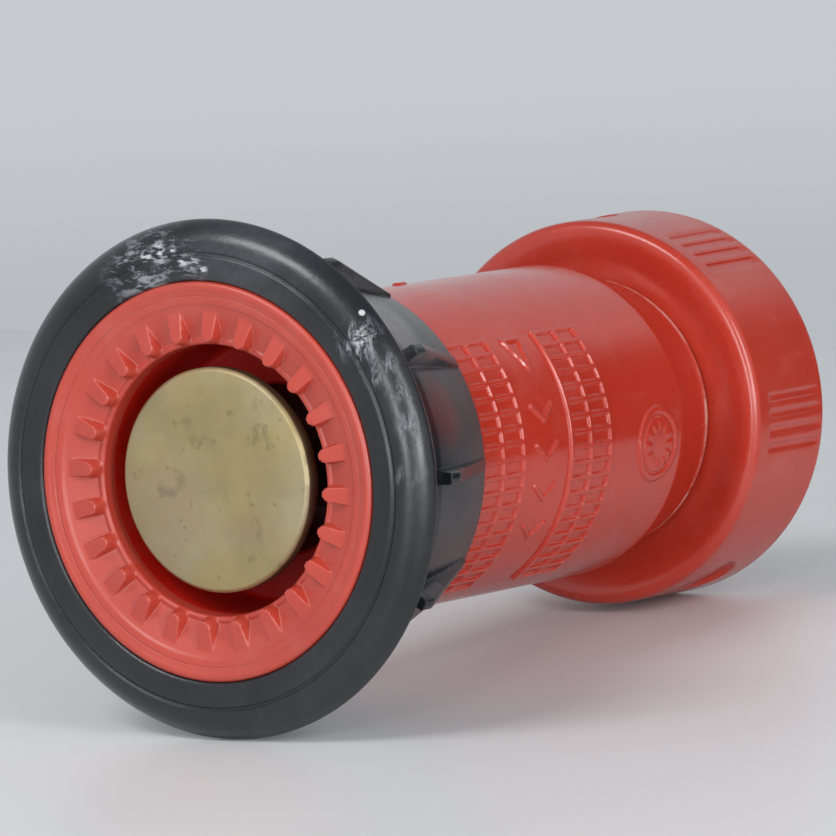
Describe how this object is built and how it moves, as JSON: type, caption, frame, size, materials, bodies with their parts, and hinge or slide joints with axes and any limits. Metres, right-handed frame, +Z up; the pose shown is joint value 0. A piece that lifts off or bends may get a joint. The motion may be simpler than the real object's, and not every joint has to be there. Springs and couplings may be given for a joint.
{
  "type": "fire hose nozzle",
  "caption": "Twist-barrel fire hose fog nozzle: a bumpered barrel with a toothed front ring screws along an inlet base, opening or closing the annular gap around a fixed brass baffle head.",
  "frame": {"origin": "on the nozzle axis, at the hose inlet face", "axes": "the nozzle axis is Y, the spray end looks to -Y and the hose leaves to +Y; Z is up with the nozzle lying on its side, and X is to the right as seen from the spray end"},
  "size_m": [0.0812, 0.1398, 0.0812],
  "materials": {
    "red_plastic": "moulded polycarbonate, glossy",
    "black_rubber": "moulded rubber, scuffed",
    "seal_rubber": "moulded seal rubber",
    "brass": "turned brass, dull and spotted",
    "stainless_steel": "plain"
  },
  "bodies": {
    "base": {"inlet_base": "red_plastic", "hose_gasket": "seal_rubber", "stem_spider": "brass", "spider_snap_ring": "stainless_steel", "baffle_stem": "brass", "stem_washer": "stainless_steel", "stem_lock_washer": "stainless_steel", "stem_nut": "brass", "baffle_head": "brass", "shutoff_seal": "seal_rubber", "seal_clamp_washer": "brass"},
    "barrel_seals": {"barrel_o_ring_front": "seal_rubber", "barrel_o_ring_rear": "seal_rubber"},
    "barrel": {"barrel": "red_plastic", "fog_ring": "red_plastic", "bumper": "black_rubber"}
  },
  "joints": [
    {"name": "barrel_travel", "type": "slide", "parent": "base", "child": "barrel_seals", "axis": [0, -1, 0], "range_m": [0, 0.01201]},
    {"name": "barrel_turn", "type": "hinge", "parent": "barrel_seals", "child": "barrel", "pos_m": [0, -0.08, 0], "axis": [0, -1, 0], "range_deg": [0, 270]}
  ],
  "couplings": [
    {"joint": "barrel_travel", "follows": "barrel_turn", "m_per_rad": 0.0025465}
  ]
}
